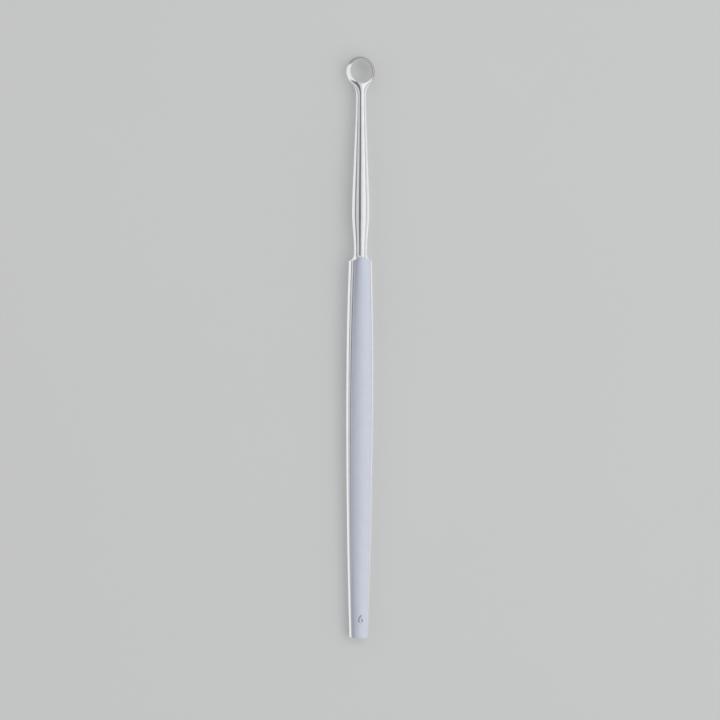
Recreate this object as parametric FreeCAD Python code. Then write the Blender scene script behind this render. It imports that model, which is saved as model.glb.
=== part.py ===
import FreeCAD, Part
import math
import os

# A dermal curette: one piece of steel that lies on the flat back of its handle.
# Lengths are in millimetres. Stations are measured along it from the butt of the handle.
# Across the width is X, along the instrument is Y and up from the bench is Z.

# Overall sizes
overall_length = 146.0
handle_length = 94.6

# Handle: a flat bar, widest a little in front of its middle, thinner and narrower at the butt
butt_width = 4.2
widest_width = 6.5
widest_from_butt = 65.0
shoulder_width = 5.55
butt_thickness = 2.5
shoulder_thickness = 3.8
butt_crown = 0.15

# Rounding of the handle's long edges, which grows from the butt to the shoulder
butt_edge_radius = 0.3
shoulder_edge_radius = 1.2
butt_rim_radius = 0.25

# Cove: the hollow turned in front of the handle, down to the waist of the shank
cove_radius = 1.6
waist_diameter = 3.2
waist_length = 2.2
waist_rise = 0.03

# Shank: round, swells in front of the waist, then tapers to the neck behind the loop.
# The swell reaches down as far as the back of the handle.
swell_from_waist = 8.3
swell_diameter = 4.24
taper_diameter = 3.3
taper_slant = 1.0
neck_width = 2.35
neck_thickness = 2.2

# Cutting loop: an open ring with an upright inner wall, a ground outer bevel and a blunt foot
loop_bore = 6.0
loop_wall = 0.7
loop_height = 1.4
loop_foot_height = 0.15
cutting_edge_width = 0.06

# Flare: the neck widens through an arc on each side until it touches the ring, and thins.
# Its fullness is 1 for an oval section, and less for one that is drawn in beside a ridge.
flare_radius = 5.7
flare_tip_thickness = 1.3
flare_tip_fullness = 0.5
flare_root_in_ring = 0.5

# Sections that guide each curved stretch of the shank
cove_sections = 7
flare_sections = 6

# Places worked out from the sizes above
loop_radius = loop_bore / 2 + loop_wall
loop_station = overall_length - loop_radius
axis_height = swell_diameter / 2
waist_station = handle_length + cove_radius
swell_station = waist_station + waist_length + swell_from_waist


def at(station, across=0.0, height=0.0):
    """A point at a distance from the butt, across the width and above the bench."""
    return FreeCAD.Vector(across, station - overall_length / 2, height)


def unit(direction):
    """A copy of a direction with a length of one."""
    return direction * (1 / direction.Length)


def long_edge(side, end):
    """One long side of the handle in plan: two shallow bows that meet at its widest place."""
    half_widest = widest_width / 2
    rear_run = widest_from_butt - butt_crown
    rear_fall = (widest_width - butt_width) / 2
    shoulder_fall = (widest_width - shoulder_width) / 2
    front_run = end - widest_from_butt
    front_fall = shoulder_fall * (front_run / (handle_length - widest_from_butt)) ** 2
    points = [
        at(butt_crown, side * (half_widest - rear_fall)),
        at(widest_from_butt, side * half_widest),
        at(end, side * (half_widest - front_fall)),
    ]
    tangents = [
        FreeCAD.Vector(side * 2 * rear_fall / rear_run, 1, 0),
        FreeCAD.Vector(0, 1, 0),
        FreeCAD.Vector(-side * 2 * front_fall / front_run, 1, 0),
    ]
    curve = Part.BSplineCurve()
    curve.interpolate(Points=points, Tangents=tangents, TangentFlags=[True] * len(points))
    return curve.toShape()


def plan_prism(end, height):
    """The handle's outline in plan, from its crowned butt to a square front end, raised to a height."""
    left = long_edge(-1, end)
    right = long_edge(1, end)
    butt = Part.Arc(left.Vertexes[0].Point, at(0.0), right.Vertexes[0].Point).toShape()
    front = Part.LineSegment(left.Vertexes[-1].Point, right.Vertexes[-1].Point).toShape()
    outline = Part.Wire([butt, right, front, left])
    return Part.Face(outline).extrude(FreeCAD.Vector(0, 0, height))


def side_prism(start, end):
    """The handle's outline from the side: a flat back and a front face that slopes down to the butt."""
    thinning = (shoulder_thickness - butt_thickness) / handle_length
    corners = [
        at(start, -widest_width),
        at(end, -widest_width),
        at(end, -widest_width, butt_thickness + thinning * end),
        at(start, -widest_width, butt_thickness + thinning * start),
    ]
    outline = Part.makePolygon(corners + corners[:1])
    return Part.Face(outline).extrude(FreeCAD.Vector(2 * widest_width, 0, 0))


def long_sharp_edges(bar):
    """The long edges of the handle where two of its faces still meet at about a right angle."""
    sharp = math.radians(45)
    found = []
    for edge in bar.Edges:
        if edge.Length < widest_from_butt:
            continue
        middle = edge.valueAt((edge.FirstParameter + edge.LastParameter) / 2)
        normals = []
        for face in bar.ancestorsOfType(edge, Part.Face):
            normals.append(face.normalAt(*face.Surface.parameter(middle)))
        if normals[0].getAngle(normals[1]) > sharp:
            found.append(edge)
    return found


def runs_forward(edge):
    """Whether an edge is drawn from the butt towards the loop."""
    return edge.valueAt(edge.FirstParameter).y < edge.valueAt(edge.LastParameter).y


def rounded_long_edges(bar):
    """The handle with its long edges rounded, more and more from the butt to the shoulder."""
    forward = [edge for edge in long_sharp_edges(bar) if runs_forward(edge)]
    if forward:
        bar = bar.makeFillet(butt_edge_radius, shoulder_edge_radius, forward)
    backward = long_sharp_edges(bar)
    if backward:
        bar = bar.makeFillet(shoulder_edge_radius, butt_edge_radius, backward)
    return bar


def handle_bar():
    """The flat bar of the handle, running on to the waist, with its long edges and butt rim rounded."""
    past_butt = -butt_width
    past_waist = waist_station + butt_width
    bar = plan_prism(waist_station, 2 * shoulder_thickness).common(side_prism(past_butt, past_waist))
    bar = bar.Solids[0]
    bar = rounded_long_edges(bar)
    butt_face = min(bar.Faces, key=lambda face: face.CenterOfMass.y)
    return bar.makeFillet(butt_rim_radius, butt_face.Edges)


def section(station, width, thickness):
    """The half sizes of one oval section and its place along the instrument."""
    return FreeCAD.Vector(width / 2, at(station).y, thickness / 2)


def cove_stops():
    """Sections and directions of the turned hollow, from its wide mouth to just before the waist."""
    stops = []
    for step in range(cove_sections - 1):
        turn = math.pi / 2 * (1 - step / (cove_sections - 1))
        diameter = waist_diameter + 2 * cove_radius * (1 - math.cos(turn))
        station = waist_station - cove_radius * math.sin(turn)
        direction = FreeCAD.Vector(-math.sin(turn), math.cos(turn), -math.sin(turn))
        stops.append((section(station, diameter, diameter), direction))
    return stops


def flare_stops():
    """Sections and directions of the flare, whose sides are arcs from the neck to the ring.

    The last one lies inside the ring, so that the flare grows out of it without a step.
    """
    across = neck_width / 2 + flare_radius
    reach = loop_radius + flare_radius
    back = math.sqrt(reach ** 2 - across ** 2)
    touch = math.asin(back / reach)
    loss = neck_thickness - flare_tip_thickness
    stops = []
    for step in range(flare_sections):
        share = step / (flare_sections - 1)
        turn = touch * share
        station = loop_station - back + flare_radius * math.sin(turn)
        width = neck_width + 2 * flare_radius * (1 - math.cos(turn))
        thickness = neck_thickness - loss * share ** 2
        thinning = loss * share / (flare_radius * touch)
        direction = FreeCAD.Vector(math.sin(turn), math.cos(turn), -thinning)
        stops.append((section(station, width, thickness), direction))
    root = section(station + flare_root_in_ring, width, flare_tip_thickness / 2)
    stops.append((root, FreeCAD.Vector(0, 1, 0)))
    return stops


def shank_stops():
    """Sections and directions from the waist over the swell and down the taper."""
    neck = flare_stops()[0][0]
    waist = section(waist_station, waist_diameter, waist_diameter)
    waist_end = section(waist_station + waist_length, waist_diameter, waist_diameter)
    swell = section(swell_station, swell_diameter, swell_diameter)
    taper = FreeCAD.Vector(taper_diameter / 2, (swell.y + neck.y) / 2, taper_diameter / 2)
    level = FreeCAD.Vector(0, 1, 0)
    rising = FreeCAD.Vector(waist_rise, 1, waist_rise)
    fall = (neck - swell) * (1 / (neck.y - swell.y))
    falling = FreeCAD.Vector(fall.x * taper_slant, 1, fall.z * taper_slant)
    return [(waist, level), (waist_end, rising), (swell, level), (taper, falling)]


def smooth_guide(stops):
    """A cubic curve that passes through each stop in that stop's direction."""
    knots = [0.0]
    for (point, _), (following, _) in zip(stops, stops[1:]):
        knots.append(knots[-1] + (following - point).Length)
    poles = [stops[0][0]]
    for place in range(len(stops) - 1):
        third = (knots[place + 1] - knots[place]) / 3
        point, direction = stops[place]
        following, onward = stops[place + 1]
        poles.append(point + unit(direction) * third)
        poles.append(following - unit(onward) * third)
    poles.append(stops[-1][0])
    degree = 3
    counts = [degree + 1] + [degree - 1] * (len(stops) - 2) + [degree + 1]
    curve = Part.BSplineCurve()
    curve.buildFromPolesMultsKnots(poles, counts, knots, False, degree)
    return curve


def fullness(place):
    """How full the section is at a place: 1 up to the neck, and less and less along the flare."""
    flare = flare_stops()
    neck = flare[0][0].y
    tip = flare[-2][0].y
    share = min(max((place.y - neck) / (tip - neck), 0), 1)
    return 1 - (1 - flare_tip_fullness) * share


def oval_skin(guide):
    """The surface whose section at each point of a guide is an oval of the guide's half sizes.

    Round the section its poles are those of an exact circle drawn as four quarter arcs.
    Lighter poles between the quarters draw the flare's sections in beside their ridges.
    """
    eighth = math.pi / 4
    poles = []
    weights = []
    for step in range(9):
        turn = step * eighth
        spread = math.cos(eighth) if step % 2 else 1.0
        row = []
        row_weights = []
        for pole in guide.getPoles():
            across = pole.x * math.cos(turn) / spread
            height = axis_height + pole.z * math.sin(turn) / spread
            row.append(FreeCAD.Vector(across, pole.y, height))
            row_weights.append(spread * fullness(pole) if step % 2 else spread)
        poles.append(row)
        weights.append(row_weights)
    quarters = [0.0, 0.25, 0.5, 0.75, 1.0]
    quarter_counts = [3, 2, 2, 2, 3]
    knots = guide.getKnots()
    counts = guide.getMultiplicities()
    skin = Part.BSplineSurface()
    skin.buildFromPolesMultsKnots(
        poles, quarter_counts, counts, quarters, knots, False, False, 2, guide.Degree, weights
    )
    return skin.toShape()


def closed_solid(skin):
    """A tubular skin whose two open ends are closed with flat faces."""
    faces = [skin]
    for edge in skin.Edges:
        box = edge.BoundBox
        if edge.isClosed() and box.YLength < box.XLength / 2:
            faces.append(Part.Face(Part.Wire(edge)))
    shell = Part.makeShell(faces)
    shell.sewShape()
    solid = Part.Solid(shell)
    if solid.Volume < 0:
        solid.reverse()
    return solid


def turned_shank():
    """Cove, waist, swell, taper, neck and flare as one form, round as far as the neck."""
    guide = smooth_guide(cove_stops() + shank_stops() + flare_stops())
    return closed_solid(oval_skin(guide))


def station_block(start, end):
    """A block that holds everything between two stations."""
    side = overall_length
    return Part.makeBox(side, end - start, side, at(start, -side / 2, -side / 2))


def cutting_ring():
    """The ring of the loop, turned about its upright axis: inner wall, edge, bevel and foot."""
    bore = loop_bore / 2
    foot = axis_height - loop_height / 2
    profile = [
        (bore, foot),
        (loop_radius, foot),
        (loop_radius, foot + loop_foot_height),
        (bore + cutting_edge_width, foot + loop_height),
        (bore, foot + loop_height),
    ]
    corners = [at(loop_station, radius, height) for radius, height in profile]
    outline = Part.makePolygon(corners + corners[:1])
    return Part.Face(outline).revolve(at(loop_station), FreeCAD.Vector(0, 0, 1), 360)


def bore_plug():
    """The round space inside the loop, deeper than the instrument is thick."""
    depth = 2 * axis_height
    return Part.makeCylinder(loop_bore / 2, depth, at(loop_station, 0.0, axis_height - depth / 2))


def curette():
    """The whole instrument as one solid."""
    bar = handle_bar()
    turned = turned_shank()
    handle = bar.common(station_block(-butt_width, handle_length))
    shoulder = turned.common(bar)
    shank = turned.common(station_block(waist_station, overall_length)).cut(bore_plug())
    whole = handle.fuse([shoulder, shank]).fuse(cutting_ring()).removeSplitter()
    return whole.Solids[0]


os.makedirs("parts", exist_ok=True)
curette().exportStep("parts/curette.step")
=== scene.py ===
import logging
import math
from dataclasses import dataclass, field
from enum import Enum

import bpy
from mathutils import Matrix, Vector


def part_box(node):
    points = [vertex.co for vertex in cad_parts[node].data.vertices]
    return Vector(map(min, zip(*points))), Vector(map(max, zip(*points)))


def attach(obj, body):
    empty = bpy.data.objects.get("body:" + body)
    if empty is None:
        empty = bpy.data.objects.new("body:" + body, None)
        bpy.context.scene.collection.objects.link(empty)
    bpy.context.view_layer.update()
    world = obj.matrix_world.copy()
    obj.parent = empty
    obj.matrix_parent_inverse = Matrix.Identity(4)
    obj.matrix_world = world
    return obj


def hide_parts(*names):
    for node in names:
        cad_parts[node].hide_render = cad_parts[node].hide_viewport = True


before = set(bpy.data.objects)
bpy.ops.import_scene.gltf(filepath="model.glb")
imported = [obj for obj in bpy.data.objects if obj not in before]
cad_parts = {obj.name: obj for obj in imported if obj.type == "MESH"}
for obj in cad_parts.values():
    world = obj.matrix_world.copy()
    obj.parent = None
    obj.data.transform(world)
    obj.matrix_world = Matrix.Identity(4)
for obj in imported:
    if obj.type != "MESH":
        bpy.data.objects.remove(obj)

MM = 0.001
NODE = "curette"
BODY = "root"
SATIN = "satin"
SEAM_DISTANCE = 0.0005 * MM
NOISE_ROUGHNESS = 0.55
# Both thresholds leave room for rounding inside the nodes.
NEARLY_ONE = 0.99999
JUST_OVER_HALF = 0.5001

log = logging.getLogger("curette")


class Value:
    """A number that a node gives, on which Python's operators add Math nodes."""

    def __init__(self, graph: "Graph", socket: bpy.types.NodeSocket) -> None:
        """Keeps the socket and the graph that it belongs to."""
        self.graph = graph
        self.socket = socket

    def maths(self, operation: str, *others: "Value | float", clamp: bool = False) -> "Value":
        """Adds one Math node.

        Args:
            operation: the Math node's operation.
            others: the second and third operands, where the operation has them.
            clamp: whether the result is held between 0 and 1.

        Returns:
            The node's result.
        """
        settings = {"operation": operation, "use_clamp": clamp}
        operands = dict(enumerate((self, *others)))
        return self.graph.add("ShaderNodeMath", settings, operands)

    def __add__(self, other: "Value | float") -> "Value":
        """self + other"""
        return self.maths("ADD", other)

    def __radd__(self, other: float) -> "Value":
        """other + self"""
        return self.maths("ADD", other)

    def __sub__(self, other: "Value | float") -> "Value":
        """self - other"""
        return self.maths("SUBTRACT", other)

    def __rsub__(self, other: float) -> "Value":
        """other - self"""
        return (self * -1.0).maths("ADD", other)

    def __mul__(self, other: "Value | float") -> "Value":
        """self * other"""
        return self.maths("MULTIPLY", other)

    def __rmul__(self, other: float) -> "Value":
        """other * self"""
        return self.maths("MULTIPLY", other)

    def __truediv__(self, other: "Value | float") -> "Value":
        """self / other"""
        return self.maths("DIVIDE", other)

    def __rtruediv__(self, other: float) -> "Value":
        """other / self"""
        return self.maths("POWER", -1.0) * other

    def __gt__(self, other: "Value | float") -> "Value":
        """1 where self is over other, else 0"""
        return self.maths("GREATER_THAN", other)

    def __lt__(self, other: "Value | float") -> "Value":
        """1 where self is under other, else 0"""
        return self.maths("LESS_THAN", other)

    def squared(self) -> "Value":
        """self times itself"""
        return self.maths("MULTIPLY", self)

    def held(self) -> "Value":
        """self held between 0 and 1"""
        return self.maths("ADD", 0.0, clamp=True)

    def at_most(self, other: "Value | float") -> "Value":
        """The lesser of self and other"""
        return self.maths("MINIMUM", other)

    def at_least(self, other: "Value | float") -> "Value":
        """The greater of self and other"""
        return self.maths("MAXIMUM", other)

    def between(self, low: "Value | float", high: "Value | float") -> "Value":
        """Blends from low, where self is 0, to high, where self is 1."""
        return self * (high - low) + low


class Kind(Enum):
    """What a geometry tree reads from a guide."""

    NUMBER = "FLOAT"
    PLACE = "FLOAT_VECTOR"


class Graph:
    """A node tree that is written as expressions."""

    def __init__(self, tree: bpy.types.NodeTree) -> None:
        """Starts on an empty tree."""
        self.tree = tree
        self.tree.nodes.clear()

    def node(self, kind: str, settings: dict, inputs: dict) -> bpy.types.Node:
        """Adds one node of any type.

        Args:
            kind: the node's type.
            settings: properties of the node, which are set first.
            inputs: plain values, Values or lists of Values by the input's name or number.

        Returns:
            The new node.
        """
        made = self.tree.nodes.new(kind)
        for name, setting in settings.items():
            setattr(made, name, setting)
        for key, given in inputs.items():
            for one in given if isinstance(given, list) else [given]:
                if isinstance(one, Value):
                    self.tree.links.new(one.socket, made.inputs[key])
                else:
                    made.inputs[key].default_value = one
        return made

    def add(self, kind: str, settings: dict, inputs: dict, output: str | int = 0) -> Value:
        """Adds one node and gives one of its outputs.

        Args:
            kind: the node's type.
            settings: properties of the node, which are set first.
            inputs: plain values, Values or lists of Values by the input's name or number.
            output: the name or number of the output wanted.

        Returns:
            That output.
        """
        return Value(self, self.node(kind, settings, inputs).outputs[output])

    def parts(self, vector: Value) -> tuple[Value, Value, Value]:
        """Splits a vector.

        Args:
            vector: the vector to split.

        Returns:
            Its three coordinates.
        """
        node = self.node("ShaderNodeSeparateXYZ", {}, {0: vector})
        return tuple(Value(self, socket) for socket in node.outputs)

    def vector(self, x: Value | float, y: Value | float, z: Value | float) -> Value:
        """Joins three coordinates.

        Args:
            x: the first coordinate.
            y: the second coordinate.
            z: the third coordinate.

        Returns:
            The vector.
        """
        return self.add("ShaderNodeCombineXYZ", {}, {0: x, 1: y, 2: z})


class GeometryGraph(Graph):
    """A geometry node tree with named inputs."""

    def __init__(self, name: str) -> None:
        """Starts an empty tree.

        Args:
            name: what the tree is called.
        """
        super().__init__(bpy.data.node_groups.new(name, "GeometryNodeTree"))
        kind = "NodeSocketGeometry"
        self.tree.interface.new_socket(name="Geometry", in_out="OUTPUT", socket_type=kind)
        self.given: dict[str, object] = {}

    def ask(self, sizes: dict[str, object]) -> dict[str, Value]:
        """Gives the tree more named inputs.

        Args:
            sizes: a number, whole number or object by the input's name.

        Returns:
            The value of each input inside the tree.
        """
        kinds = {float: "NodeSocketFloat", int: "NodeSocketInt", bpy.types.Object: "NodeSocketObject"}
        for name, size in sizes.items():
            kind = kinds[type(size)]
            socket = self.tree.interface.new_socket(name=name, in_out="INPUT", socket_type=kind)
            self.given[socket.identifier] = size
        entry = self.node("NodeGroupInput", {}, {})
        return {name: Value(self, entry.outputs[name]) for name in sizes}

    def lattice(self, rows: Value | int, columns: int) -> tuple[Value, Value, Value]:
        """A grid of quads and where each of its corners stands in it.

        Args:
            rows: how many corners there are along it.
            columns: how many quads there are round it.

        Returns:
            The mesh, each corner's row, and each corner's share of the way round.
        """
        grid = self.add("GeometryNodeMeshGrid", {}, {"Vertices X": rows, "Vertices Y": columns + 1})
        index = self.add("GeometryNodeInputIndex", {}, {})
        row = ((index + 0.5) / (columns + 1.0)).maths("FLOOR")
        share = (index - row * (columns + 1.0)) / float(columns)
        return grid, row, share

    def along(self, guide: Value) -> tuple[Value, Value]:
        """The points of a guide curve.

        Args:
            guide: the guide's object.

        Returns:
            The points' geometry and their number.
        """
        unmoved = {"transform_space": "ORIGINAL"}
        curve = self.add("GeometryNodeObjectInfo", unmoved, {"Object": guide}, "Geometry")
        points = self.add("GeometryNodeCurveToPoints", {"mode": "EVALUATED"}, {"Curve": curve})
        settings = {"component": "POINTCLOUD"}
        count = self.add("GeometryNodeAttributeDomainSize", settings, {"Geometry": points})
        return points, count

    def read(self, points: Value, value: Value, kind: Kind, index: Value) -> Value:
        """Reads a value at one of a guide's points.

        Args:
            points: the guide's points.
            value: what is read there.
            kind: what sort of value it is.
            index: the point's number.

        Returns:
            The value at that point.
        """
        inputs = {"Geometry": points, "Value": value, "Index": index}
        return self.add("GeometryNodeSampleIndex", {"data_type": kind.value}, inputs)

    def shaped(self, mesh: Value, place: Value) -> Value:
        """Moves a lattice's corners to their places and closes its seam and poles.

        Args:
            mesh: the lattice.
            place: where each corner goes.

        Returns:
            The closed mesh.
        """
        moved = self.add("GeometryNodeSetPosition", {}, {"Geometry": mesh, "Position": place})
        return self.welded(moved, SEAM_DISTANCE)

    def welded(self, mesh: Value, distance: float) -> Value:
        """The mesh with its corners merged where they lie within a distance."""
        return self.add("GeometryNodeMergeByDistance", {}, {"Geometry": mesh, "Distance": distance})

    def finish(self, mesh: Value, material: bpy.types.Material) -> None:
        """Ends the tree.

        Args:
            mesh: the finished mesh.
            material: the finish that it gets.
        """
        real = self.add("GeometryNodeRealizeInstances", {}, {"Geometry": mesh})
        dressed = self.add("GeometryNodeSetMaterial", {}, {"Geometry": real, "Material": material})
        self.node("NodeGroupOutput", {}, {0: dressed})

    def make(self, name: str) -> bpy.types.Object:
        """Runs the tree once and keeps its result as a plain mesh.

        Args:
            name: the name of the finished object.

        Returns:
            The object, with its place in its mesh.
        """
        host = new_object(name + "_host", bpy.data.meshes.new(name + "_host"))
        modifier = host.modifiers.new(self.tree.name, "NODES")
        modifier.node_group = self.tree
        for identifier, size in self.given.items():
            modifier[identifier] = size
        return new_piece(name, finished_mesh(host))


class ShaderGraph(Graph):
    """A material's node tree, with what its finishes share."""

    def __init__(self, name: str) -> None:
        """Starts an empty material.

        Args:
            name: what the material is called.
        """
        self.material = bpy.data.materials.new(name)
        self.material.use_nodes = True
        super().__init__(self.material.node_tree)
        self.place = self.add("ShaderNodeTexCoord", {}, {}, "Object")

    def noise(self, place: Value, pattern: "Pattern") -> Value:
        """A noise pattern.

        Args:
            place: where on the piece it is read.
            pattern: the size and detail of its spots.

        Returns:
            A number from -0.5 to 0.5, about 0 on average.
        """
        inputs = {"Vector": place, "Scale": 1.0 / pattern.size, "Detail": pattern.detail}
        return self.add("ShaderNodeTexNoise", {}, inputs | {"Roughness": NOISE_ROUGHNESS}) - 0.5

    def scaled(self, color: Value | tuple[float, float, float], shade: Value) -> Value:
        """A colour made lighter or darker.

        Args:
            color: the colour.
            shade: what it is multiplied by.

        Returns:
            The new colour.
        """
        settings = {"operation": "SCALE"}
        return self.add("ShaderNodeVectorMath", settings, {0: color, "Scale": shade})

    def metal(self, color: Value, roughness: Value, relief: Value) -> Value:
        """A bare metal surface.

        Args:
            color: the colour that it reflects.
            roughness: how rough it is.
            relief: the height of its fine relief.

        Returns:
            The surface's shader.
        """
        bump = self.add("ShaderNodeBump", {}, {"Strength": 1.0, "Distance": 1.0, "Height": relief})
        inputs = {"Base Color": color, "Metallic": 1.0, "Roughness": roughness, "Normal": bump}
        return self.add("ShaderNodeBsdfPrincipled", {}, inputs)

    def finish(self, surface: Value) -> bpy.types.Material:
        """Ends the tree.

        Args:
            surface: the surface's shader.

        Returns:
            The finished material.
        """
        self.node("ShaderNodeOutputMaterial", {}, {"Surface": surface})
        return self.material


def new_object(name: str, data: bpy.types.ID) -> bpy.types.Object:
    """Puts a new object in the scene.

    Args:
        name: the object's name.
        data: its mesh, curve, text, light or camera.

    Returns:
        The object, at the origin.
    """
    made = bpy.data.objects.new(name, data)
    bpy.context.scene.collection.objects.link(made)
    return made


def finished_mesh(host: bpy.types.Object) -> bpy.types.Mesh:
    """Takes the mesh that an object ends up with, and removes the object.

    Args:
        host: the object.

    Returns:
        Its mesh.
    """
    evaluated = host.evaluated_get(bpy.context.evaluated_depsgraph_get())
    mesh = bpy.data.meshes.new_from_object(evaluated)
    bpy.data.objects.remove(host)
    return mesh


def new_piece(name: str, mesh: bpy.types.Mesh) -> bpy.types.Object:
    """Puts a finished mesh in the scene.

    Args:
        name: the object's name.
        mesh: its mesh.

    Returns:
        The object, at the origin.
    """
    mesh.name = name
    return new_object(name, mesh)


@dataclass(frozen=True)
class Stop:
    """One point of a guide: where it is, and which way the guide arrives and leaves."""

    place: Vector
    arrive: Vector
    leave: Vector
    scale: float = 1.0


def guide_curve(name: str, stops: list[Stop], steps: int, closed: bool = False) -> bpy.types.Object:
    """Draws a smooth guide through its stops.

    Args:
        name: the guide's name.
        stops: its points, in order.
        steps: how many parts each stretch is divided into.
        closed: whether the last stop leads back to the first.

    Returns:
        The guide, to be removed when it has been used.
    """
    curve = bpy.data.curves.new(name, "CURVE")
    curve.dimensions = "3D"
    spline = curve.splines.new("BEZIER")
    spline.bezier_points.add(len(stops) - 1)
    spline.resolution_u = steps
    spline.use_cyclic_u = closed
    for number, (point, stop) in enumerate(zip(spline.bezier_points, stops)):
        before = stops[number - 1].place
        after = stops[(number + 1) % len(stops)].place
        point.handle_left_type = point.handle_right_type = "FREE"
        point.co = stop.place
        point.handle_left = stop.place - stop.arrive * (stop.place - before).length / 3
        point.handle_right = stop.place + stop.leave * (after - stop.place).length / 3
        point.radius = stop.scale
    return new_object(name, curve)


@dataclass(frozen=True)
class Pattern:
    """A noise pattern: its size and detail, and how much it changes the finish that it is on."""

    size: float
    detail: float
    shade: float
    satin_roughness: float = 0.0
    polished_roughness: float = 0.0
    depth: float = 0.0


@dataclass(frozen=True)
class SteelFinish:
    """Stainless steel that is satin where the mask is 1 and mirror polished where it is 0; the satin colour
    is darkened and tinted blue as painted shade.
    """

    # The satin's higher roughness is real, but its colour is painted: darker and bluer than the polished
    # colour, as painted shade with a painted cool cast of the light.
    satin_color_with_painted_shade: tuple[float, float, float] = (0.60, 0.632, 0.73)
    polished_color: tuple[float, float, float] = (0.80, 0.805, 0.82)
    satin_roughness: float = 0.34
    polished_roughness: float = 0.085
    mottle: Pattern = Pattern(2.2 * MM, 3.0, 0.12, satin_roughness=0.10, polished_roughness=0.05)
    grain: Pattern = Pattern(0.2 * MM, 2.0, 0.12, depth=0.006 * MM)
    lines: Pattern = Pattern(
        0.09 * MM, 1.0, 0.08, satin_roughness=0.08, polished_roughness=0.03, depth=0.0012 * MM
    )
    line_stretch: float = 40.0

    def material(self) -> bpy.types.Material:
        """Builds the finish.

        Returns:
            The material.
        """
        graph = ShaderGraph("surgical_steel")
        mask = graph.add("ShaderNodeAttribute", {"attribute_name": SATIN}, {}, "Fac").held()
        across, length, height = graph.parts(graph.place)
        drawn = graph.vector(across, length / self.line_stretch, height)
        mottle = graph.noise(graph.place, self.mottle)
        grain = graph.noise(graph.place, self.grain) * mask
        lines = graph.noise(drawn, self.lines)
        shade = mottle * self.mottle.shade + lines * self.lines.shade + grain * self.grain.shade + 1.0
        # Sockets 6 and 7 are the two colours, and output 2 is their mix.
        colors = {0: mask, 6: (*self.polished_color, 1.0), 7: (*self.satin_color_with_painted_shade, 1.0)}
        color = graph.add("ShaderNodeMix", {"data_type": "RGBA"}, colors, 2)
        satin = mottle * self.mottle.satin_roughness + lines * self.lines.satin_roughness
        polished = mottle * self.mottle.polished_roughness + lines * self.lines.polished_roughness
        roughness = mask.between(polished + self.polished_roughness, satin + self.satin_roughness)
        relief = grain * self.grain.depth + lines * self.lines.depth
        return graph.finish(graph.metal(graph.scaled(color, shade), roughness, relief))


@dataclass(frozen=True)
class EtchedFinish:
    """Steel that is darkened and roughened by etching."""

    color: tuple[float, float, float] = (0.30, 0.315, 0.35)
    roughness: float = 0.65
    roughness_spread: float = 0.2
    spots: Pattern = Pattern(0.15 * MM, 2.0, 0.6, depth=0.01 * MM)

    def material(self) -> bpy.types.Material:
        """Builds the finish.

        Returns:
            The material.
        """
        graph = ShaderGraph("etched_steel")
        spots = graph.noise(graph.place, self.spots)
        color = graph.scaled(self.color, spots * self.spots.shade + 1.0)
        roughness = spots * self.roughness_spread + self.roughness
        return graph.finish(graph.metal(color, roughness, spots * self.spots.depth))


@dataclass(frozen=True)
class FloorFinish:
    """A pale bench top, which polished steel mirrors plain white, with painted shade that makes it dimmer
    on the left and a painted shadow round the loop, both seen only in reflections.
    """

    color: tuple[float, float, float] = (0.80, 0.805, 0.81)
    roughness: float = 0.65
    specular: float = 0.2
    clouds: Pattern = Pattern(60.0 * MM, 2.0, 0.02)
    mirrored: float = 0.98
    # Levels of the painted shade on the left and of the painted shadow round the loop, as the steel mirrors
    # them.
    mirrored_painted_shade_left: float = 0.40
    left_from: float = 16.0 * MM
    left_blend: float = 8.0 * MM
    mirrored_painted_shadow_at_loop: float = 0.38
    loop_middle: tuple[float, float, float] = (1.0 * MM, 73.0 * MM, 0.0)
    loop_reach: float = 7.5 * MM
    loop_blend: float = 1.5 * MM

    def material(self) -> bpy.types.Material:
        """Builds the finish.

        Returns:
            The material.
        """
        graph = ShaderGraph("pale_floor")
        clouds = graph.noise(graph.place, self.clouds)
        tone = graph.scaled(self.color, clouds * self.clouds.shade + 1.0)
        inputs = {"Base Color": tone, "Roughness": self.roughness, "Specular IOR Level": self.specular}
        shader = graph.add("ShaderNodeBsdfPrincipled", {}, inputs)
        level = self.mirror_level_with_painted_shade(graph)
        # For glossy rays the floor glows at this level, so the steel mirrors the painted shade and painted
        # shadow in place of the floor's own shading.
        glow = graph.add("ShaderNodeEmission", {}, {"Color": graph.vector(level, level, level)})
        in_steel = graph.add("ShaderNodeLightPath", {}, {}, "Is Glossy Ray")
        return graph.finish(graph.add("ShaderNodeMixShader", {}, {0: in_steel, 1: shader, 2: glow}))

    def mirror_level_with_painted_shade(self, graph: ShaderGraph) -> Value:
        """How bright the floor is in a reflection, with painted shade dimming the left and a painted shadow
        dimming the ground round the loop.

        Args:
            graph: the material's graph.

        Returns:
            The level at each place on the floor.
        """
        across, _, _ = graph.parts(graph.place)
        # Painted shade: the floor seen in the steel grows dimmer to the left; painted shadow: a soft dim
        # disc round the loop, which the ring's walls mirror.
        leftward = ((-self.left_from - across) / self.left_blend + 0.5).held()
        ends = {0: graph.place, 1: self.loop_middle}
        distance = graph.add("ShaderNodeVectorMath", {"operation": "DISTANCE"}, ends, "Value")
        near_loop = ((self.loop_reach - distance) / self.loop_blend + 0.5).held()
        beside = leftward.between(self.mirrored, self.mirrored_painted_shade_left)
        return near_loop.between(beside, self.mirrored_painted_shadow_at_loop)


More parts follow.
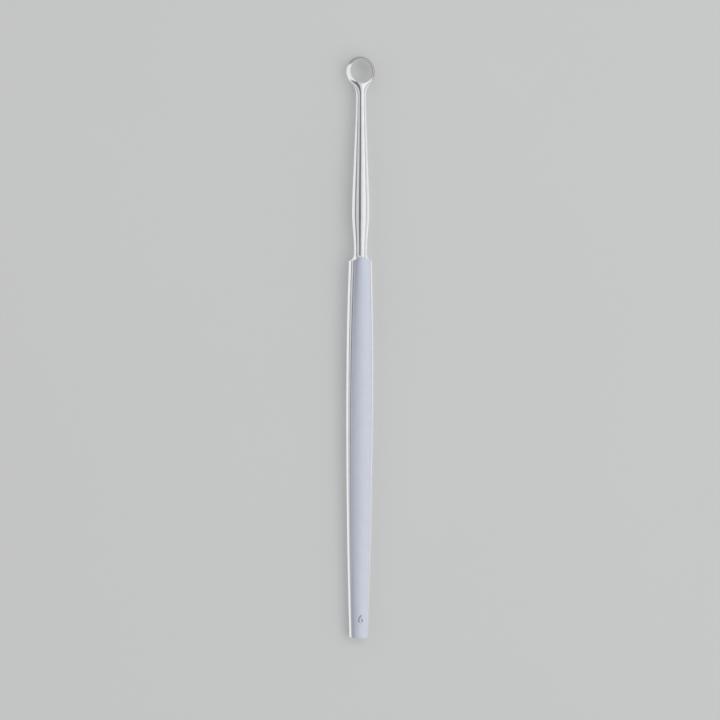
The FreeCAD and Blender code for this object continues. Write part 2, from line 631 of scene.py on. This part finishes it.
@dataclass
class Handle:
    """The flat bar: widest in front of its middle, with rounded long edges and a crowned butt."""

    length: float = 94.6 * MM
    butt_width: float = 4.2 * MM
    widest_width: float = 6.5 * MM
    widest_from_butt: float = 65.0 * MM
    shoulder_width: float = 5.55 * MM
    butt_thickness: float = 2.5 * MM
    shoulder_thickness: float = 3.8 * MM
    butt_crown: float = 0.15 * MM
    butt_crown_reach: float = 4.0 * MM
    face_crown: float = 0.25 * MM
    butt_edge_radius: float = 0.3 * MM
    shoulder_edge_radius: float = 1.2 * MM
    rim_radius: float = 0.25 * MM
    side_share: float = 0.1
    edge_share: float = 0.4
    satin_from: float = math.radians(62)

    @property
    def rear_fall(self) -> float:
        """How fast half the width falls off behind the widest place, for each squared distance."""
        return (self.widest_width - self.butt_width) / 2 / self.widest_from_butt**2

    @property
    def front_fall(self) -> float:
        """How fast half the width falls off in front of the widest place."""
        return (self.widest_width - self.shoulder_width) / 2 / (self.length - self.widest_from_butt) ** 2

    @property
    def thickening(self) -> float:
        """How much thicker the bar gets along each unit of its length."""
        return (self.shoulder_thickness - self.butt_thickness) / self.length

    def outline(self, graph: GeometryGraph, station: Value, share: Value) -> tuple[Value, ...]:
        """The bar's section, read at each corner of a lattice.

        Round each quarter the corners first climb the side, then turn round the
        long edge, and then cross half of the face.

        Args:
            graph: the tree.
            station: distance of the section from the butt.
            share: share of the way round the section.

        Returns:
            Place across, height above the bench, shift towards the loop, and 1 where it is satin.
        """
        sizes = graph.ask(
            {
                "Half Width": self.widest_width / 2,
                "Widest From Butt": self.widest_from_butt,
                "Rear Fall": self.rear_fall,
                "Front Fall": self.front_fall,
                "Butt Thickness": self.butt_thickness,
                "Thickening": self.thickening,
                "Butt Edge Radius": self.butt_edge_radius,
                "Edge Growth": (self.shoulder_edge_radius - self.butt_edge_radius) / self.length,
                "Rim Radius": self.rim_radius,
                "Face Crown": self.face_crown,
                "Butt Crown": self.butt_crown,
                "Butt Crown Reach": self.butt_crown_reach,
            }
        )
        ahead = station - sizes["Widest From Butt"]
        behind_fall = ahead.at_most(0.0).squared() * sizes["Rear Fall"]
        ahead_fall = ahead.at_least(0.0).squared() * sizes["Front Fall"]
        half_width = sizes["Half Width"] - behind_fall - ahead_fall
        thickness = sizes["Butt Thickness"] + station * sizes["Thickening"]
        radius = sizes["Butt Edge Radius"] + station * sizes["Edge Growth"]
        rim = (1.0 - station / sizes["Rim Radius"]).held()
        inset = sizes["Rim Radius"] * (1.0 - (1.0 - rim.squared()).maths("SQRT"))
        quarter = (share * 4.0).maths("PINGPONG", 1.0)
        side = (quarter / self.side_share).held()
        turned = ((quarter - self.side_share) / (self.edge_share - self.side_share)).held()
        turn = turned * (math.pi / 2)
        face = ((quarter - self.edge_share) / (1.0 - self.edge_share)).held()
        rightward = ((share - 0.5).maths("ABSOLUTE") > 0.25) * 2.0 - 1.0
        upward = (share < JUST_OVER_HALF) * 2.0 - 1.0
        reach = 1.0 - face
        across = reach * (half_width - radius) + turn.maths("COSINE") * (radius - inset)
        crown = reach.squared() * sizes["Face Crown"] * side
        rise = side * (thickness / 2 - radius) - crown + turn.maths("SINE") * (radius - inset)
        height = thickness / 2 + rise * upward
        near_butt = (1.0 - station / sizes["Butt Crown Reach"]).held()
        shift = (across / half_width).squared() * sizes["Butt Crown"] * near_butt
        satin = turn > self.satin_from
        return across * rightward, height, shift, satin

    def face_height(self, across: float, station: float) -> float:
        """Height of the front face above the bench, near the butt.

        Args:
            across: place across the handle.
            station: distance from the butt.

        Returns:
            The height there.
        """
        thickness = self.butt_thickness + self.thickening * station
        half_width = self.widest_width / 2 - self.rear_fall * (self.widest_from_butt - station) ** 2
        return thickness - self.face_crown * (across / (half_width - self.butt_edge_radius)) ** 2


@dataclass
class Loop:
    """The open cutting ring: an upright inner wall, a ground outer bevel and a rounded foot."""

    bore: float = 6.0 * MM
    wall: float = 0.7 * MM
    height: float = 1.4 * MM
    foot_height: float = 0.15 * MM
    edge_width: float = 0.06 * MM
    inner_foot_radius: float = 0.08 * MM
    outer_foot_radius: float = 0.06 * MM
    bevel_radius: float = 0.3 * MM
    steps: int = 6
    turns: int = 256

    @property
    def radius(self) -> float:
        """Outer radius of the ring."""
        return self.bore / 2 + self.wall

    def corners(self) -> list[tuple[Vector, float]]:
        """Lists the corners of the ring's section.

        Returns:
            Each corner's place and the radius that it is rounded to.
        """
        inner = self.bore / 2
        return [
            (Vector((inner, 0.0, 0.0)), self.inner_foot_radius),
            (Vector((self.radius, 0.0, 0.0)), self.outer_foot_radius),
            (Vector((self.radius, 0.0, self.foot_height)), self.bevel_radius),
            (Vector((inner + self.edge_width, 0.0, self.height)), 0.0),
            (Vector((inner, 0.0, self.height)), 0.0),
        ]

    def stops(self) -> list[Stop]:
        """The outline of the ring's section with its corners rounded.

        Returns:
            The stops of a closed guide, with distance from the loop's axis as X and height as Z.
        """
        corners = self.corners()
        made = []
        for number, (corner, radius) in enumerate(corners):
            before = (corner - corners[number - 1][0]).normalized()
            after = (corners[(number + 1) % len(corners)][0] - corner).normalized()
            if radius:
                run = radius * math.tan(before.angle(after) / 2)
                made.append(Stop(corner - before * run, before, before))
                made.append(Stop(corner + after * run, after, after))
            else:
                made.append(Stop(corner, before, after))
        return made

    def ring(self, graph: GeometryGraph, profile: bpy.types.Object, centre: float, foot: float) -> Value:
        """Turns the ring about its upright axis.

        Args:
            graph: the tree.
            profile: the outline of the ring's section.
            centre: place of the axis along the instrument.
            foot: height of the ring's foot above the bench.

        Returns:
            The closed ring.
        """
        sizes = graph.ask(
            {
                "Ring Section": profile,
                "Ring Centre": centre,
                "Ring Foot": foot,
                "Ring Steps": self.turns,
            }
        )
        points, _ = graph.along(sizes["Ring Section"])
        corners = len(self.stops()) * self.steps
        mesh, row, share = graph.lattice(sizes["Ring Steps"] + 1.0, corners)
        index = (share * float(corners) + 0.5).maths("FLOOR").maths("MODULO", float(corners))
        position = graph.add("GeometryNodeInputPosition", {}, {})
        distance, _, height = graph.parts(graph.read(points, position, Kind.PLACE, index))
        angle = row / sizes["Ring Steps"] * (2 * math.pi)
        across = distance * angle.maths("COSINE")
        length = distance * angle.maths("SINE") + sizes["Ring Centre"]
        return graph.shaped(mesh, graph.vector(across, length, height + sizes["Ring Foot"]))


@dataclass
class Shank:
    """The turned part: cove, waist, swell, taper, neck and the flare that carries the loop."""

    cove_radius: float = 1.6 * MM
    waist_diameter: float = 3.2 * MM
    waist_length: float = 2.2 * MM
    waist_rise: float = 0.03
    swell_from_waist: float = 8.3 * MM
    swell_diameter: float = 4.24 * MM
    taper_diameter: float = 3.3 * MM
    neck_width: float = 2.35 * MM
    neck_thickness: float = 2.2 * MM
    flare_radius: float = 5.7 * MM
    flare_tip_thickness: float = 1.3 * MM
    flare_tip_fullness: float = 0.5
    flare_root: float = 0.5 * MM
    cove_sections: int = 7
    flare_sections: int = 6

    @staticmethod
    def stop(width: float, station: float, thickness: float, direction: tuple[float, float, float]) -> Stop:
        """One section of the shank.

        Args:
            width: its whole width.
            station: its distance from the butt.
            thickness: its whole thickness.
            direction: which way half width, station and half thickness change there.

        Returns:
            The stop of the guide.
        """
        onward = Vector(direction).normalized()
        return Stop(Vector((width / 2, station, thickness / 2)), onward, onward)

    def cove(self, waist: float) -> list[Stop]:
        """Sections of the hollow that is turned in front of the handle.

        Args:
            waist: the waist's distance from the butt.

        Returns:
            Its stops, from the mouth to just before the waist.
        """
        stops = []
        for step in range(self.cove_sections - 1):
            turn = math.pi / 2 * (1 - step / (self.cove_sections - 1))
            diameter = self.waist_diameter + 2 * self.cove_radius * (1 - math.cos(turn))
            station = waist - self.cove_radius * math.sin(turn)
            direction = (-math.sin(turn), math.cos(turn), -math.sin(turn))
            stops.append(self.stop(diameter, station, diameter, direction))
        return stops

    def flare(self, loop: Loop, centre: float) -> list[Stop]:
        """Sections of the flare, whose sides are arcs from the neck to the ring.

        Args:
            loop: the ring that it carries.
            centre: distance of the loop's axis from the butt.

        Returns:
            Its stops, the last of them inside the ring.
        """
        across = self.neck_width / 2 + self.flare_radius
        reach = loop.radius + self.flare_radius
        back = math.sqrt(reach**2 - across**2)
        touch = math.asin(back / reach)
        loss = self.neck_thickness - self.flare_tip_thickness
        stops = []
        for step in range(self.flare_sections):
            share = step / (self.flare_sections - 1)
            turn = touch * share
            station = centre - back + self.flare_radius * math.sin(turn)
            width = self.neck_width + 2 * self.flare_radius * (1 - math.cos(turn))
            thickness = self.neck_thickness - loss * share**2
            thinning = loss * share / (self.flare_radius * touch)
            stops.append(self.stop(width, station, thickness, (math.sin(turn), math.cos(turn), -thinning)))
        stops.append(self.stop(width, station + self.flare_root, self.flare_tip_thickness / 2, (0, 1, 0)))
        return stops

    def stops(self, handle: Handle, loop: Loop, centre: float) -> list[Stop]:
        """The guide of the whole instrument, from the middle of the butt to the root in the ring.

        Args:
            handle: the bar that the cove is turned in.
            loop: the ring at the end.
            centre: distance of the loop's axis from the butt.

        Returns:
            Its stops, with half width as X, distance from the butt as Y and half thickness as Z.
        """
        still = Vector((0.0, 0.0, 0.0))
        ahead = Vector((0.0, 1.0, 0.0))
        waist = handle.length + self.cove_radius
        cove = self.cove(waist)
        flare = self.flare(loop, centre)
        mouth = cove[0].place
        butt = Vector((mouth.x, 0.0, mouth.z))
        rim = Vector((mouth.x, handle.rim_radius, mouth.z))
        neck = flare[0].place
        waist_end = waist + self.waist_length
        swell_station = waist_end + self.swell_from_waist
        taper_station = (swell_station + neck.y) / 2
        length = neck.y - swell_station
        fall = (
            (neck.x - self.swell_diameter / 2) / length,
            1.0,
            (neck.z - self.swell_diameter / 2) / length,
        )
        rise = (self.waist_rise, 1, self.waist_rise)
        root = flare[-1].place
        return [
            Stop(butt, still, still, 0.0),
            Stop(butt, still, still),
            Stop(rim, ahead, ahead),
            Stop(mouth, ahead, cove[0].leave),
            *cove[1:],
            self.stop(self.waist_diameter, waist, self.waist_diameter, (0, 1, 0)),
            self.stop(self.waist_diameter, waist_end, self.waist_diameter, rise),
            self.stop(self.swell_diameter, swell_station, self.swell_diameter, (0, 1, 0)),
            self.stop(self.taper_diameter, taper_station, self.taper_diameter, fall),
            *flare[:-1],
            Stop(root, ahead, still),
            Stop(root, still, still, 0.0),
        ]

    def drawn_in(self, graph: GeometryGraph, across: Value, height: Value, share: Value) -> Value:
        """How far a flare's section reaches, against the oval with the same width and thickness.

        The section is four conic arcs, which are drawn in beside a ridge as it gets less full.

        Args:
            graph: the tree.
            across: place across on the oval, as a share of half its width.
            height: place up on the oval, as a share of half its thickness.
            share: how far along the flare the section is, from 0 to 1.

        Returns:
            The reach, which is 1 on an oval section.
        """
        size = graph.ask({"Flare Tip Fullness": self.flare_tip_fullness})["Flare Tip Fullness"]
        fullness = 1.0 - (1.0 - size) * share
        bend = fullness.squared() * 2.0
        sides = across.maths("ABSOLUTE") + height.maths("ABSOLUTE")
        corner = (across * height).maths("ABSOLUTE")
        spread = sides.squared() - bend * corner
        slack = sides * (2.0 - bend)
        root = (slack.squared() - spread * (1.0 - bend) * 4.0).at_least(0.0).maths("SQRT")
        return (slack + root) / (spread * 2.0)


@dataclass
class Curette:
    """The whole instrument in one piece of steel."""

    butt: float
    finish: SteelFinish = field(default_factory=SteelFinish)
    handle: Handle = field(default_factory=Handle)
    shank: Shank = field(default_factory=Shank)
    loop: Loop = field(default_factory=Loop)
    steps: int = 20
    columns: int = 160
    bore_overcut: float = 0.15 * MM
    bore_depth: float = 5.6 * MM
    sharp_angle: float = math.radians(24)
    weld_distance: float = 0.002 * MM
    slack: float = 0.001 * MM

    @property
    def axis_height(self) -> float:
        """Height of the shank's axis above the bench, which its swell touches."""
        return self.shank.swell_diameter / 2

    def body(self, graph: GeometryGraph, guide: bpy.types.Object, flare: tuple[float, float]) -> Value:
        """Sweeps the bar's section, turned down to the round shank, along the instrument.

        Args:
            graph: the tree.
            guide: half width, station and half thickness of the turned sections.
            flare: distances from the butt at which the flare begins and ends.

        Returns:
            The closed body, with the mask of its satin faces.
        """
        waist = self.handle.length + self.shank.cove_radius
        sizes = graph.ask(
            {
                "Guide": guide,
                "Butt": self.butt,
                "Axis Height": self.axis_height,
                "Cove From Butt": self.handle.length,
                "Waist From Butt": waist,
                "Waist Radius": self.shank.waist_diameter / 2,
                "Flare Start": flare[0],
                "Flare Length": flare[1] - flare[0],
            }
        )
        points, rows = graph.along(sizes["Guide"])
        mesh, row, share = graph.lattice(rows, self.columns)
        position = graph.add("GeometryNodeInputPosition", {}, {})
        half_width, station, half_thickness = graph.parts(graph.read(points, position, Kind.PLACE, row))
        scale = graph.read(points, graph.add("GeometryNodeInputRadius", {}, {}), Kind.NUMBER, row)
        on_bar = station.at_most(sizes["Waist From Butt"])
        across, height, shift, ground = self.handle.outline(graph, on_bar, share)
        past_waist = station > sizes["Waist From Butt"]
        radius = past_waist.between(half_width, sizes["Waist Radius"])
        above_axis = height - sizes["Axis Height"]
        spread = ((across / radius).squared() + (above_axis / radius).squared()).maths("SQRT")
        in_front = (station + self.slack) > sizes["Cove From Butt"]
        pull = in_front.between(1.0, (1.0 / spread).at_most(1.0))
        across_share = across * pull / radius
        height_share = above_axis * pull / radius
        along_flare = ((station - sizes["Flare Start"]) / sizes["Flare Length"]).held()
        drawn_in = self.shank.drawn_in(graph, across_share, height_share, along_flare)
        reach = past_waist.between(1.0, drawn_in) * scale
        place = graph.vector(
            across_share * half_width * reach,
            sizes["Butt"] + station + shift * scale.squared(),
            sizes["Axis Height"] + height_share * half_thickness * reach,
        )
        on_face = ground * (pull > NEARLY_ONE) * (scale > NEARLY_ONE)
        satin = on_face * (station > self.handle.rim_radius / 2)
        settings = {"data_type": "FLOAT", "domain": "POINT"}
        inputs = {"Geometry": mesh, "Name": SATIN, "Value": satin}
        masked = graph.add("GeometryNodeStoreNamedAttribute", settings, inputs)
        return graph.shaped(masked, place)

    def joined(self, graph: GeometryGraph, body: Value, ring: Value, centre: float) -> Value:
        """Clears the bore and joins the ring to the flare.

        Args:
            graph: the tree.
            body: the handle and shank.
            ring: the cutting ring.
            centre: place of the loop's axis along the instrument.

        Returns:
            One closed mesh with its edges shaded.
        """
        radius = self.loop.bore / 2 + self.bore_overcut
        sizes = {"Vertices": self.loop.turns, "Radius": radius, "Depth": self.bore_depth}
        plug = graph.add("GeometryNodeMeshCylinder", {}, sizes)
        shift = Vector((0.0, centre, self.axis_height))
        placed = graph.add("GeometryNodeTransform", {}, {"Geometry": plug, "Translation": shift})
        cleared = {"operation": "DIFFERENCE", "solver": "MANIFOLD"}
        cut = graph.add("GeometryNodeMeshBoolean", cleared, {"Mesh 1": body, "Mesh 2": placed})
        united = {"operation": "UNION", "solver": "MANIFOLD"}
        union = graph.add("GeometryNodeMeshBoolean", united, {"Mesh 2": [cut, ring]})
        inputs = {0: graph.welded(union, self.weld_distance), "Shade Smooth": True}
        smooth = graph.add("GeometryNodeSetShadeSmooth", {"domain": "FACE"}, inputs)
        angle = graph.add("GeometryNodeInputMeshEdgeAngle", {}, {})
        inputs = {0: smooth, "Selection": angle > self.sharp_angle, "Shade Smooth": False}
        return graph.add("GeometryNodeSetShadeSmooth", {"domain": "EDGE"}, inputs)

    def build(self, tip: float) -> bpy.types.Object:
        """Builds and dresses the instrument.

        Args:
            tip: place of the loop's far side along the instrument.

        Returns:
            The finished piece.
        """
        centre = tip - self.loop.radius
        foot = self.axis_height - self.loop.height / 2
        stops = self.shank.stops(self.handle, self.loop, centre - self.butt)
        flare = self.shank.flare(self.loop, centre - self.butt)
        guide = guide_curve("instrument_guide", stops, self.steps)
        profile = guide_curve("ring_section", self.loop.stops(), self.loop.steps, closed=True)
        graph = GeometryGraph("curette_form")
        body = self.body(graph, guide, (flare[0].place.y, flare[-2].place.y))
        ring = self.loop.ring(graph, profile, centre, foot)
        graph.finish(self.joined(graph, body, ring, centre), self.finish.material())
        piece = graph.make("curette_steel")
        for helper in (guide, profile):
            bpy.data.objects.remove(helper)
        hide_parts(NODE)
        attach(piece, BODY)
        return piece


@dataclass
class SizeMark:
    """A plain size number, etched into the front face near the butt."""

    text: str = "6"
    digit_height: float = 2.15 * MM
    from_butt: float = 4.85 * MM
    across: float = 0.22 * MM
    stand: float = 0.004 * MM
    root: float = 0.02 * MM
    cap_share: float = 0.73
    outline_steps: int = 12
    finish: EtchedFinish = field(default_factory=EtchedFinish)

    def build(self, curette: Curette) -> bpy.types.Object:
        """Builds the mark on the handle's face.

        Args:
            curette: the instrument that it is etched into.

        Returns:
            The finished piece.
        """
        text = bpy.data.curves.new("size_mark", "FONT")
        text.body = self.text
        text.size = self.digit_height / self.cap_share
        text.extrude = (self.stand + self.root) / 2
        text.resolution_u = self.outline_steps
        mesh = finished_mesh(new_object("size_mark_text", text))
        middle = [
            (min(v.co[axis] for v in mesh.vertices) + max(v.co[axis] for v in mesh.vertices)) / 2
            for axis in (0, 1)
        ]
        for vertex in mesh.vertices:
            across = vertex.co.x - middle[0] + self.across
            station = vertex.co.y - middle[1] + self.from_butt
            lift = self.stand if vertex.co.z > 0 else -self.root
            height = curette.handle.face_height(across, station) + lift
            vertex.co = (across, curette.butt + station, height)
        mesh.materials.clear()
        mesh.materials.append(self.finish.material())
        piece = new_piece("size_mark", mesh)
        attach(piece, BODY)
        return piece


@dataclass(frozen=True)
class SoftBox:
    """A soft light that hangs over the bench, leaning to the left or the right, by angles in degrees."""

    name: str
    lean: float
    half_angle: float
    radiance: float
    distance: float = 0.8
    length: float = 2.0
    ahead: float = 0.0

    def build(self) -> None:
        """Hangs the light, facing the instrument."""
        lamp = bpy.data.lights.new(self.name, "AREA")
        lamp.shape = "RECTANGLE"
        lamp.size = 2 * self.distance * math.tan(math.radians(self.half_angle))
        lamp.size_y = self.length
        lamp.energy = self.radiance * math.pi * lamp.size * lamp.size_y
        light = new_object(self.name, lamp)
        lean = math.radians(self.lean)
        light.rotation_euler = (0.0, -lean, 0.0)
        light.location = (-math.sin(lean) * self.distance, self.ahead, math.cos(lean) * self.distance)
        light.visible_camera = False


@dataclass
class Studio:
    """A pale bench under four soft boxes, with a narrow dark gap to the left of the middle one."""

    floor_size: float = 1.6
    floor_drop: float = 0.01 * MM
    left_horizon: float = 0.25
    right_horizon: float = 0.79
    zenith: float = 0.20
    horizon_top: float = 0.25
    zenith_blend: float = 0.5
    backdrop: float = 0.55
    tilt: float = 15.0
    roll: float = 0.2
    lens: float = 120.0
    sensor: float = 36.0
    nearest: float = 0.01
    farthest: float = 50.0
    frame_width: float = 180.65 * MM
    target: tuple[float, float, float] = (-0.035 * MM, -3.2 * MM, 2.12 * MM)
    boxes: tuple[SoftBox, ...] = (
        SoftBox("left_soft_box", lean=59.5, half_angle=20.0, radiance=0.50),
        SoftBox("far_soft_box", lean=25.5, half_angle=14.0, radiance=0.58, length=0.6, ahead=0.68),
        SoftBox("middle_soft_box", lean=0.0, half_angle=12.0, radiance=0.57),
        SoftBox("right_soft_box", lean=-35.5, half_angle=23.5, radiance=0.82),
    )

    def floor(self) -> None:
        """Lays the pale floor just under the instrument."""
        half = self.floor_size / 2
        square = ((-half, -half), (half, -half), (half, half), (-half, half))
        mesh = bpy.data.meshes.new("floor")
        mesh.from_pydata([(x, y, -self.floor_drop) for x, y in square], [], [(0, 1, 2, 3)])
        mesh.materials.append(FloorFinish().material())
        floor = new_piece("floor", mesh)

    def surroundings(self) -> None:
        """Makes the room: dark overhead, paler at the horizon on the right, and a pale backdrop."""
        world = bpy.data.worlds.new("studio_room")
        world.use_nodes = True
        bpy.context.scene.world = world
        graph = Graph(world.node_tree)
        direction = graph.add("ShaderNodeTexCoord", {}, {}, "Generated")
        across, _, upward = graph.parts(direction)
        horizon = (across * 0.5 + 0.5).squared().between(self.left_horizon, self.right_horizon)
        raised = ((upward - self.horizon_top) / self.zenith_blend).held()
        room = raised.between(horizon, self.zenith)
        seen = graph.add("ShaderNodeLightPath", {}, {}, "Is Camera Ray")
        level = seen.between(room, self.backdrop)
        shader = graph.add("ShaderNodeBackground", {}, {"Color": graph.vector(level, level, level)})
        graph.node("ShaderNodeOutputWorld", {}, {"Surface": shader})

    def camera(self) -> None:
        """Sets up the camera, which looks down from a little to the left."""
        lens = bpy.data.cameras.new("camera")
        lens.lens = self.lens
        lens.sensor_width = self.sensor
        lens.clip_start = self.nearest
        lens.clip_end = self.farthest
        camera = new_object("camera", lens)
        tilt = math.radians(self.tilt)
        distance = self.frame_width / self.sensor * self.lens
        lean = Matrix.Rotation(-tilt, 4, "Y") @ Matrix.Rotation(math.radians(self.roll), 4, "Z")
        place = Vector(self.target) + Vector((-math.sin(tilt), 0.0, math.cos(tilt))) * distance
        camera.matrix_world = Matrix.Translation(place) @ lean
        bpy.context.scene.camera = camera

    def build(self) -> None:
        """Builds the floor, the room, the lights and the camera."""
        self.floor()
        self.surroundings()
        for box in self.boxes:
            box.build()
        self.camera()
        bpy.context.scene.view_settings.view_transform = "Standard"


def main() -> None:
    """Builds the instrument and the studio round it, and reports each piece."""
    logging.basicConfig(level=logging.INFO, format="%(name)s: %(message)s")
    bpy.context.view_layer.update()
    low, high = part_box(NODE)
    curette = Curette(butt=low.y)
    steel = curette.build(tip=high.y)
    log.info("built %s with %d faces", steel.name, len(steel.data.polygons))
    mark = SizeMark().build(curette)
    log.info("built %s with %d faces", mark.name, len(mark.data.polygons))
    Studio().build()


if __name__ == "__main__":
    main()
